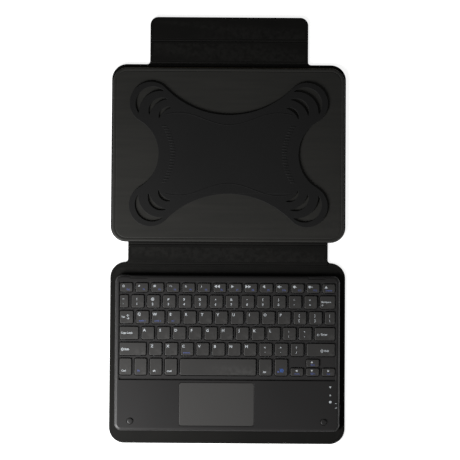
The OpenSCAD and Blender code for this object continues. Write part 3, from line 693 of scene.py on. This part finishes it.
# %% The pad
def solid_from_flat(name, outlines, z0, z1, bevel):
    """A filled flat curve, as thick as z1 - z0 with a rounded rim, as a mesh."""
    curve = bpy.data.curves.new(name, "CURVE")
    curve.dimensions, curve.fill_mode = "2D", "BOTH"
    curve.bevel_depth, curve.bevel_resolution = bevel * MM, 2
    curve.extrude = ((z1 - z0) / 2 - bevel) * MM
    for outline in outlines:
        spline = curve.splines.new("POLY")
        spline.points.add(len(outline) - 1)
        flat = np.zeros((len(outline), 4))
        flat[:, :2], flat[:, 3] = outline * MM, 1
        spline.points.foreach_set("co", flat.ravel())
        spline.use_cyclic_u = True
    holder = bpy.data.objects.new(name, curve)
    bpy.context.scene.collection.objects.link(holder)
    view = bpy.context.evaluated_depsgraph_get()
    mesh = bpy.data.meshes.new_from_object(holder.evaluated_get(view))
    bpy.data.objects.remove(holder)
    mesh.transform(Matrix.Translation((0, 0, (z0 + z1) / 2 * MM)))
    return mesh


pad_low, pad_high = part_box("silicone_gripper")
PAD_Y = (pad_low.y + pad_high.y) / 2
PAD_UNDER = pad_low.z / MM
RIB_RISE = 0.25
PAD_TOP = pad_high.z / MM - RIB_RISE
mirrors = [(1, 1), (-1, 1), (-1, -1), (1, -1)]
outlines = [gripper_outline(-RIM)]
outlines += [crescent(*c, RIM, np.array(m)) for c in CRESCENTS for m in mirrors]
pad_mesh = solid_from_flat("silicone_pad", outlines, PAD_UNDER, PAD_TOP, RIM)
pad_mesh.transform(Matrix.Translation((0, PAD_Y, 0)))
pad_mesh.shade_smooth()
pad_mesh.set_sharp_from_angle(angle=CRISP)
piece("silicone_pad", pad_mesh, "silicone", "back_upper", ["silicone_gripper"])

# %% [markdown]
# Two columns of short ribs and a thin raised line frame the middle of the pad. The ribs follow
# the waist of the pad: their distance from the middle grows with the square of their height.
# The line is a wave, lowest in the middle and highest near the ribs.

# %% Ribs
RIBS, RIB_PITCH = 21, 3.0
RIB_WAIST, RIB_SPREAD = 60, 9
RIB_HALF = (2.75, 0.6)
rise = np.linspace(-1, 1, RIBS)
rib_y = rise * RIB_PITCH * (RIBS - 1) / 2
rib_x = RIB_WAIST + RIB_SPREAD * rise ** 2
centres = np.concatenate([np.stack([side * rib_x, rib_y], -1) for side in (-1, 1)])
corner_signs = np.array([(-1, -1), (1, -1), (1, 1), (-1, 1)])
rib_corners = (centres[:, None] + corner_signs * RIB_HALF) * MM + np.array([0, PAD_Y])
ribs = slab(rib_corners, RIB_HALF[1] * MM,
            [(0, PAD_TOP - 0.3), (0, PAD_TOP + 0.08), (0.1, PAD_TOP + 0.2),
             (0.3, PAD_TOP + RIB_RISE)], 3)
piece("gripper_ribs", ribs, "silicone", "back_upper")


# %% The raised line
def bead(path, radius, steps=8):
    """A round bead along a flat path: each ring is the path's point plus radius times
    (cos a n + sin a z), n the path's side direction."""
    ahead = np.gradient(path, axis=0)
    ahead /= np.linalg.norm(ahead, axis=1, keepdims=True)
    side = np.stack([ahead[:, 1], -ahead[:, 0]], -1)
    a = np.linspace(0, 2 * math.pi, steps, endpoint=False)
    xy = path[:, None] + radius * np.cos(a)[None, :, None] * side[:, None]
    z = np.broadcast_to(radius * np.sin(a), xy.shape[:2])
    points = np.concatenate([xy, z[..., None]], -1)
    k, n = points.shape[:2]
    at = np.arange(k * n).reshape(k, n)
    on = np.roll(at, -1, axis=1)
    walls = np.stack([at[:-1], at[1:], on[1:], on[:-1]], -1).reshape(-1, 4)
    return points.reshape(-1, 3), walls.tolist() + [at[0].tolist(), at[-1, ::-1].tolist()]


LINE_MIDDLE, LINE_RISE, LINE_REACH, LINE_END = 31.6, 13.0, 54.0, 68
BEAD, FLATTEN = 0.4, 0.6
line_x = np.linspace(-LINE_END, LINE_END, 90)
wave = (1 - np.cos(math.pi * line_x / LINE_REACH)) / 2
line = np.stack([line_x, LINE_MIDDLE + LINE_RISE * wave], -1)
beads = []
for way in (1, -1):
    points, faces = bead(line * way * MM + np.array([0, PAD_Y]), BEAD * MM)
    points[:, 2] = points[:, 2] * FLATTEN + (PAD_TOP + 0.02) * MM
    beads.append((points, faces))
piece("gripper_line", merged(beads), "silicone", "back_upper")

# %% [markdown]
# ## The keyboard housing
# One thin moulding: a skirt, a rounded top edge, and a roof with a wide opening for the keys.
# The stack starts under the roof, goes down inside the skirt, out and up. The openings are cut
# afterwards with a boolean. The cutters of the key well, the touchpad, the bumpers and the slots
# widen near the top, which leaves a fine chamfer round those openings.

# %% Boxes and profile of the housing
shell_low, shell_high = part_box("keyboard_top_shell")
SHELL_TOP = shell_high.z / MM
SHELL_UNDER = shell_low.z / MM
WALL, ROOF = 1.2, 1.0
HOUSING_CORNER = 7.5 * MM
HOUSING_PROFILE = [
    (WALL + 6, SHELL_TOP - ROOF), (WALL, SHELL_TOP - ROOF), (WALL, SHELL_UNDER),
    (0.0, SHELL_UNDER), (0.0, SHELL_TOP - 2.4), (0.08, SHELL_TOP - 1.9),
    (0.35, SHELL_TOP - 1.4), (0.85, SHELL_TOP - 0.93), (1.5, SHELL_TOP - 0.5),
    (2.2, SHELL_TOP - 0.18), (2.9, SHELL_TOP - 0.03), (3.3, SHELL_TOP), (3.5, SHELL_TOP)]
CHAMFER = [(0, SHELL_TOP - 3), (0, SHELL_TOP - 0.2), (-0.2, SHELL_TOP), (-0.5, SHELL_TOP + 0.3)]
WELL_CORNER = 1.2 * MM
WELL_MARGIN = Vector((0, 1 * MM, 0))

plate_low, plate_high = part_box("key_backing_plate")
well_low, well_high = plate_low - WELL_MARGIN, plate_high + WELL_MARGIN
touch_low, touch_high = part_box("touchpad")
bumper_low, bumper_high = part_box("rubber_bumpers")
light_low, light_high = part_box("indicator_lights")
knob_low, knob_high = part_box("power_switch_slider")
port_low, port_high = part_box("charging_port")
print("well:", [round((well_high[i] - well_low[i]) / MM, 1) for i in (0, 1)], "mm")

# %% Openings for the keys, the touchpad and the bumpers
TOUCH_GAP = Vector((0.35 * MM, 0.35 * MM, 0))
TOUCH_HOLE_CORNER = 3 * MM
BUMPER_GAP = 0.5 * MM
touch_hole = box_outline(touch_low - TOUCH_GAP, touch_high + TOUCH_GAP)
cutters = [slab(box_outline(well_low, well_high), WELL_CORNER, CHAMFER),
           slab(touch_hole, TOUCH_HOLE_CORNER, CHAMFER)]
bumper_r = (bumper_high.y - bumper_low.y) / 2
bumper_x = (bumper_low.x + bumper_r, bumper_high.x - bumper_r)
bumper_seat = bumper_low.z / MM
for x in bumper_x:
    reach = bumper_r + BUMPER_GAP
    centre = Vector((x, (bumper_low.y + bumper_high.y) / 2, 0))
    corners = box_outline(centre - Vector((reach, reach, 0)), centre + Vector((reach, reach, 0)))
    cutters.append(slab(corners, reach, [(0.2, bumper_seat), (0, bumper_seat + 0.2),
                                         (0, SHELL_TOP - 0.1), (-0.3, SHELL_TOP + 0.3)]))
print("bumper radius", round(bumper_r / MM, 2), "mm")

# %% Slots at the back, light windows, switch and charging port
SLOT_FROM_SIDE, SLOT_FROM_BACK = 24.9 * MM, 2.4 * MM
SLOT_HALF = (9.5, 1.35)
SLOT_CORNER = 0.6 * MM
LIGHT_STEP = 8.4 * MM
KNOB_PLAY, KNOB_TRAVEL, PORT_PLAY = 0.3, 2.3, 0.2
for side in (-1, 1):
    x = side * (shell_high.x - SLOT_FROM_SIDE)
    y = shell_high.y - SLOT_FROM_BACK
    corners = [(x + sx * SLOT_HALF[0] * MM, y + sy * SLOT_HALF[1] * MM) for sx, sy in corner_signs]
    cutters.append(slab(corners, SLOT_CORNER, [(0.1, SHELL_TOP - 0.5), (0, SHELL_TOP - 0.35),
                                               (0, SHELL_TOP - 0.1), (-0.2, SHELL_TOP + 0.2)]))
light_r = (light_high.x - light_low.x) / 2
light_x = (light_low.x + light_high.x) / 2
light_y = [light_high.y - light_r, light_high.y - light_r - LIGHT_STEP, light_low.y + light_r]
for y in light_y:
    corners = box_outline((light_x - light_r, y - light_r), (light_x + light_r, y + light_r))
    cutters.append(slab(corners, light_r, [(0, SHELL_TOP - 2), (0, SHELL_TOP + 1)], 5))
cutters.append(slab(box_outline((shell_high.x - 2 * WALL * MM, knob_low.y - KNOB_PLAY * MM),
                                (shell_high.x + BEYOND, knob_high.y + KNOB_TRAVEL * MM)), 0,
                    [(0, knob_low.z / MM - KNOB_PLAY), (0, knob_high.z / MM + KNOB_PLAY)]))
cutters.append(slab(box_outline((shell_high.x - 3 * WALL * MM, port_low.y - PORT_PLAY * MM),
                                (shell_high.x + BEYOND, port_high.y + PORT_PLAY * MM)), 0,
                    [(0, port_low.z / MM - PORT_PLAY / 2), (0, port_high.z / MM + PORT_PLAY / 2)]))
print(len(cutters), "openings")

# %% The housing itself
housing = slab(box_outline(shell_low, shell_high), HOUSING_CORNER, HOUSING_PROFILE, 12)
piece("housing", carve(housing, cutters), "housing", "keyboard_half", ["keyboard_top_shell"])

# %% [markdown]
# ## Keys
# Each key is a small stack of loops: a wide skirt, a steep flank, a rounded shoulder and a flat
# top. The CAD node of a row gives its outer box. Equal keys with equal gaps fill it, so the
# width of one top is (box width - skirt - gaps) / count, and every key of the row comes out of
# one array.

# %% Key shapes
SKIRT = 0.7 * MM
KEY_GAP = 4.05 * MM
KEY_CORNER = 1.1 * MM
KEY_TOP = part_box("key_space")[1].z / MM
KEY_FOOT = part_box("key_space")[0].z / MM
KEY_PROFILE = [(-0.7, KEY_FOOT), (-0.66, KEY_FOOT + 0.5), (-0.3, KEY_TOP - 1.3),
               (-0.22, KEY_TOP - 0.4), (-0.12, KEY_TOP - 0.18), (0.04, KEY_TOP - 0.05),
               (0.25, KEY_TOP), (0.4, KEY_TOP)]
KEY_COUNTS = {"keys_function_row": 14, "keys_number_row": 12, "keys_upper_letters": 12,
              "keys_middle_letters": 11, "keys_lower_letters": 10, "keys_modifiers": 4,
              "keys_arrows_lower": 3}


def key_tops(node):
    """The corners of each key top in a node, from its box and the number of keys in it."""
    low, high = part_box(node)
    count = KEY_COUNTS.get(node, 1)
    width = (high.x - low.x - 2 * SKIRT - (count - 1) * KEY_GAP) / count
    left = low.x + SKIRT + np.arange(count) * (width + KEY_GAP)
    y0, y1 = low.y + SKIRT, high.y - SKIRT
    return np.array([[(x, y0), (x + width, y0), (x + width, y1), (x, y1)] for x in left])


key_nodes = sorted(n for n in frame["nodes"] if n.startswith(("key_", "keys_"))
                   and f"{n}_body" in frame["bodies"])
tops = {node: key_tops(node) for node in key_nodes}
for node in key_nodes:
    name = node.replace("keys_", "caps_").replace("key_", "cap_")
    piece(name, slab(tops[node], KEY_CORNER, KEY_PROFILE, 4), "key_plastic", f"{node}_body",
          [node])

# %% [markdown]
# The deck is the plate that the keys rise through. It has one opening for each key, a little
# larger than the key's foot, and a narrow drain channel along its front edge. It is one moulding
# with the housing, but its plastic is painted a lighter grey to make up for the shade that the
# keys throw on it.

# %% Key deck
DECK_TOP = SHELL_TOP - 0.8
DECK_UNDER = DECK_TOP - 1.0
HOLE, HOLE_CORNER, CHANNEL_CORNER = 1.25, 1.5 * MM, 0.8 * MM
CHANNEL_IN, CHANNEL_FRONT, CHANNEL_BACK = 0.6 * MM, 0.2 * MM, 2.4 * MM
deck = slab(box_outline(well_low, well_high), WELL_CORNER,
            [(1, DECK_UNDER), (0, DECK_UNDER), (0, DECK_TOP), (0.2, DECK_TOP)])
holes = slab(np.concatenate(list(tops.values())), HOLE_CORNER,
             [(-HOLE, DECK_UNDER - 1), (-HOLE, DECK_TOP - 0.05), (-HOLE - 0.1, DECK_TOP + 0.05)], 3)
channel = slab(box_outline((well_low.x + CHANNEL_IN, well_low.y + CHANNEL_FRONT),
                           (well_high.x - CHANNEL_IN, well_low.y + CHANNEL_BACK)),
               CHANNEL_CORNER,
               [(0.2, DECK_TOP - 0.9), (0, DECK_TOP - 0.7), (0, DECK_TOP + 0.5)])
# the deck gets the housing plastic painted lighter, standing in for light in the keys' shade
piece("key_deck", carve(deck, [holes, channel], True), "housing", "keyboard_half",
      material=deck_painted_lighter)

# %% [markdown]
# ## Touchpad and bumpers
# The touchpad is a plate with a fine rounded edge, set a hair below the palm rest. The two
# bumpers are small rubber domes that keep the tablet off the keys when the case is shut.

# %% Touchpad and bumpers
PLATE_FOOT, PLATE_FACE = touch_low.z / MM, touch_high.z / MM
PLATE_CORNER = 2.7 * MM
plate = slab(box_outline(touch_low, touch_high), PLATE_CORNER,
             [(0.1, PLATE_FOOT), (0, PLATE_FOOT + 0.1), (0, PLATE_FACE - 0.25),
              (0.08, PLATE_FACE - 0.08), (0.28, PLATE_FACE), (0.4, PLATE_FACE)], 8)
piece("touch_plate", plate, "touch", "touchpad", ["touchpad"])

bumper_top = bumper_high.z / MM
bumper_corners = [box_outline((x - bumper_r, bumper_low.y), (x + bumper_r, bumper_high.y))
                  for x in bumper_x]
domes = slab(bumper_corners, bumper_r,
             [(0.1, bumper_seat), (0, bumper_seat + 0.1), (0, bumper_top - 0.8),
              (0.15, bumper_top - 0.4), (0.5, bumper_top - 0.14), (1.1, bumper_top - 0.02),
              (1.8, bumper_top)], 8)
piece("bumper_domes", domes, "silicone", "keyboard_half", ["rubber_bumpers"],
      finishes["housing"])

# %% [markdown]
# ## Legends
# The letters are screen printed: a thin coat of ink on the key top. Blender's own text objects
# draw them, each one turned into a mesh and laid on its key, and all letters of one ink on one
# key body become a single piece, so that they go down with the key. A place on a key is given
# as a share of its top, from the left and from the front.

# %% A pen for the legends
INK = 0.03 * MM         # thickness of a printed sign
SUNK = 0.01             # how deep its foot lies in the key top
SPREAD = 0.022          # how far ink runs out past the letter, as a share of its size
LEFT, MIDDLE = 0.0, 0.5
pen = bpy.data.objects.new("pen", bpy.data.curves.new("pen", "FONT"))
bpy.context.scene.collection.objects.link(pen)
pen.data.resolution_u = 2


def printed(text, size, x, y, z, anchor=MIDDLE):
    """One word as a thin solid on the plane z. anchor says which share of its width is at x;
    its height is centred on y."""
    pen.data.body, pen.data.size, pen.data.offset = text, size * MM, SPREAD * size * MM
    pen.data.extrude = INK / 2
    bpy.context.view_layer.update()
    mesh = bpy.data.meshes.new_from_object(
        pen.evaluated_get(bpy.context.evaluated_depsgraph_get()))
    points = np.zeros(len(mesh.vertices) * 3)
    mesh.vertices.foreach_get("co", points)
    points = points.reshape(-1, 3)
    corners, sides = np.zeros(len(mesh.loops), int), np.zeros(len(mesh.polygons), int)
    mesh.loops.foreach_get("vertex_index", corners)
    mesh.polygons.foreach_get("loop_total", sides)
    bpy.data.meshes.remove(mesh)
    low, high = points.min(0), points.max(0)
    points += (x - low[0] - anchor * (high[0] - low[0]), y - (low[1] + high[1]) / 2, z + INK / 2)
    return points, [face.tolist() for face in np.split(corners, np.cumsum(sides)[:-1])]


# %% [markdown]
# Every row is a list of marks: which key, the text, where on the key, its size in millimetres
# and what the place anchors. The pairs on the number row and the punctuation keys share two
# places, and so do all the single letters.

# %% Marks in white and in blue
ICON, WORD, LETTER, PAIR, SMALL, TINY = 3.4, 2.9, 4.1, 3.5, 2.3, 2.2


def white(key, text, across, up, size, anchor=MIDDLE):
    """A mark in white ink."""
    return key, text, across, up, size, white_ink, anchor


def blue(key, text, across, up, size, anchor=MIDDLE):
    """A mark in blue ink."""
    return key, text, across, up, size, blue_ink, anchor


def letters(row):
    """One letter in the upper left corner of each key."""
    return [white(key, letter, 0.2, 0.73, LETTER) for key, letter in enumerate(row)]


def pair(key, upper, lower, across=0.42):
    """A shifted sign above the plain one."""
    return [white(key, upper, across, 0.67, PAIR), white(key, lower, across, 0.27, PAIR)]


def pairs(first, uppers, lowers):
    """Pairs on neighbouring keys, from the first one on."""
    return [mark for i, signs in enumerate(zip(uppers, lowers)) for mark in pair(first + i, *signs)]


# %% What is printed on each key
icons = ["⌂", "⌕", "☰", "⇥", "±", "♪", "◄◄", "►", "►►", "◄", "◄+", "●-", "●+", "▲"]
functions = ["Esc"] + [f"F{i}" for i in range(1, 13)]
legends = {
    "keys_function_row": [white(i, icon, 0.26, 0.66, ICON) for i, icon in enumerate(icons)]
    + [blue(i, name, 0.66, 0.24, 2.5) for i, name in enumerate(functions)]
    + [blue(13, "Delete", 0.5, 0.24, 2.5)],
    "key_grave": pair(0, "~", "`", 0.38),
    "keys_number_row": pairs(0, "!@#$%^&*()_+", "1234567890-="),
    "key_backspace": [white(0, "Backspace", 0.06, 0.5, 2.5, LEFT),
                      white(0, "←", 0.06, 0.24, 3.0, LEFT)],
    "key_tab": [white(0, "Tab", 0.08, 0.5, 2.6, LEFT), white(0, "←", 0.5, 0.62, 3.6, LEFT),
                white(0, "→", 0.52, 0.38, 3.6, LEFT)],
    "keys_upper_letters": letters("QWERTYUIOP") + pairs(10, "{}", "[]")
    + [blue(0, "mode 1", 0.45, 0.2, SMALL), blue(1, "mode 2", 0.45, 0.2, SMALL),
       blue(2, "m3", 0.4, 0.2, SMALL)],
    "key_backslash": pair(0, "|", "\\", 0.45),
    "key_caps": [white(0, "Caps Lock", 0.05, 0.48, WORD, LEFT)],
    "keys_middle_letters": letters("ASDFGHJKL") + pairs(9, ':"', ";'"),
    "key_enter": [white(0, "←", 0.08, 0.42, 4.0, LEFT), white(0, "Enter", 0.3, 0.46, 3.2, LEFT)],
    "key_shift_left": [white(0, "⇧", 0.03, 0.46, 4.0, LEFT),
                       white(0, "Shift", 0.17, 0.45, WORD, LEFT)],
    "keys_lower_letters": letters("ZXCVBNM") + pairs(7, "<>?", ",./")
    + [blue(2, "connect", 0.45, 0.2, SMALL)],
    "key_shift_right": [white(0, "⇧", 0.47, 0.42, 4.2, LEFT),
                        white(0, "Shift", 0.62, 0.42, WORD, LEFT)],
    "keys_modifiers": [white(0, "Ctrl", 0.15, 0.24, WORD, LEFT), blue(1, "Fn", 0.22, 0.24, WORD, LEFT),
                       white(2, "alt", 0.23, 0.24, WORD, LEFT),
                       white(3, "cmd", 0.14, 0.23, WORD, LEFT)],
    "key_alt_right": [white(0, "Alt", 0.42, 0.2, WORD)],
    "key_connect": [(0, ")))", 0.52, 0.3, 4.2, bright_ink, MIDDLE), blue(0, "●", 0.24, 0.22, 2.4)],
    "key_arrow_up": [white(0, "▲", 0.42, 0.66, 2.6), blue(0, "PgUp", 0.5, 0.24, TINY)],
    "keys_arrows_lower": [white(0, "◄", 0.45, 0.66, 2.6), white(1, "▼", 0.42, 0.66, 2.6),
                          white(2, "►", 0.5, 0.66, 2.6), blue(0, "Home", 0.5, 0.24, TINY),
                          blue(1, "PgDn", 0.5, 0.24, TINY), blue(2, "End", 0.5, 0.24, TINY)],
}
print(sum(len(marks) for marks in legends.values()), "marks")

# %% Print the legends
for node, marks in legends.items():
    for ink in inks:
        words = []
        for key, text, across, up, size, colour, anchor in marks:
            if colour is ink:
                (x0, y0), (x1, _), (_, y1), _ = tops[node][key]
                words.append(printed(text, size, x0 + across * (x1 - x0), y0 + up * (y1 - y0),
                                     (KEY_TOP - SUNK) * MM, anchor))
        if words:
            name = f"{node.split('_', 1)[1]}_{ink.name}"
            piece(name, merged(words), "key_plastic", f"{node}_body", (), ink)

# %% [markdown]
# The palm rest carries a sign at each of its three small lights and two words beside the
# switch, in the same white ink.

# %% Signs on the palm rest
SIGN, DOT, LABEL = 2.6, 3.4, 1.9
LABEL_OUT, LABEL_UP = 6 * MM, 1.4 * MM
signs = [printed("▼", SIGN, light_x, light_y[0], SHELL_TOP * MM),
         printed("A", SIGN, light_x, light_y[1], SHELL_TOP * MM),
         printed("●", DOT, light_x, light_y[2], SHELL_TOP * MM),
         printed("on", LABEL, light_x + LABEL_OUT, knob_high.y + LABEL_UP, SHELL_TOP * MM),
         printed("off", LABEL, light_x + LABEL_OUT + 0.2 * MM, knob_low.y, SHELL_TOP * MM)]
piece("palm_rest_signs", merged(signs), "housing", "keyboard_half", (), white_ink)
bpy.data.objects.remove(pen)

# %% [markdown]
# ## Floor, light and camera
# The floor is a plain pale sheet, a hair under the case, because two faces in one plane would
# show in stripes. A camera under the floor looks through it, so that the underside can be seen
# too. The main light is a soft panel low at the front left, so that every raised edge shows a
# light side there and throws its shadow to the back right. The camera looks almost straight
# down with a long lens.

# %% Floor
FLOOR_REACH = 6.0
FLOOR_DROP = 0.05 * MM
floor_mesh = bpy.data.meshes.new("floor")
floor_mesh.from_pydata([(x * FLOOR_REACH, y * FLOOR_REACH, -FLOOR_DROP) for x, y in corner_signs],
                       [], [(0, 1, 2, 3)])
floor = bpy.data.objects.new("floor", floor_mesh)
bpy.context.scene.collection.objects.link(floor)
pale = finish("pale_floor", moulded_speckle, "f0f0f0", "f8f8f8", (0.8, 0.9), (0.0, 0.0), 0.0,
              (40.0, 3.0), Emission_Color=(1, 1, 1, 1), Emission_Strength=0.85)
tree = pale.node_tree
from_below = maths(tree, "MULTIPLY", add(tree, "NewGeometry").outputs["Backfacing"],
                   add(tree, "LightPath").outputs["Is Camera Ray"])
seen = add(tree, "MixShader", i0=from_below, i1=tree.nodes["Principled BSDF"].outputs[0],
           i2=add(tree, "BsdfTransparent").outputs[0])
tree.links.new(seen.outputs[0], tree.nodes["Material Output"].inputs["Surface"])
floor_mesh.materials.append(pale)
print("floor", round(FLOOR_DROP / MM, 2), "mm under the case")

# %% Lights
def panel_light(name, place, target, size, power):
    """A square area light at a place that faces a target, its size in metres, power in watts."""
    lamp = bpy.data.lights.new(name, "AREA")
    lamp.size, lamp.energy = size, power
    holder = bpy.data.objects.new(name, lamp)
    holder.location = place
    holder.rotation_euler = (Vector(target) - Vector(place)).to_track_quat("-Z", "Y").to_euler()
    holder.visible_camera = False
    bpy.context.scene.collection.objects.link(holder)
    return holder


panel_light("key_light", (-0.42, -0.40, 0.30), (-0.05, -0.1, 0), 0.28, 4.9)
panel_light("fill_light", (0.9, -0.3, 0.12), (0, 0, 0), 0.4, 1.5)
SKY = 0.05
world = bpy.data.worlds.new("studio")
bpy.context.scene.world = world
world.use_nodes = True
world.node_tree.nodes["Background"].inputs["Color"].default_value = (1, 1, 1, 1)
world.node_tree.nodes["Background"].inputs["Strength"].default_value = SKY
bpy.context.scene.view_settings.view_transform = "Standard"
print("lights:", [lamp.name for lamp in bpy.data.lights])

# %% Camera
TILT, ROLL = math.radians(2.2), math.radians(0.38)
DISTANCE = 1.8
LENS, SENSOR = 131.0, 36.0
aim = Vector((0.0021, -0.0007, 0.003))
lens = bpy.data.cameras.new("camera")
lens.lens, lens.sensor_width = LENS, SENSOR
camera = bpy.data.objects.new("camera", lens)
camera.location = aim + Vector((0, -math.sin(TILT), math.cos(TILT))) * DISTANCE
look = (aim - camera.location).to_track_quat("-Z", "Y")
camera.rotation_euler = (look.to_matrix() @ Matrix.Rotation(ROLL, 3, "Z")).to_euler()
bpy.context.scene.collection.objects.link(camera)
bpy.context.scene.camera = camera
print("camera at", [round(v, 3) for v in camera.location])
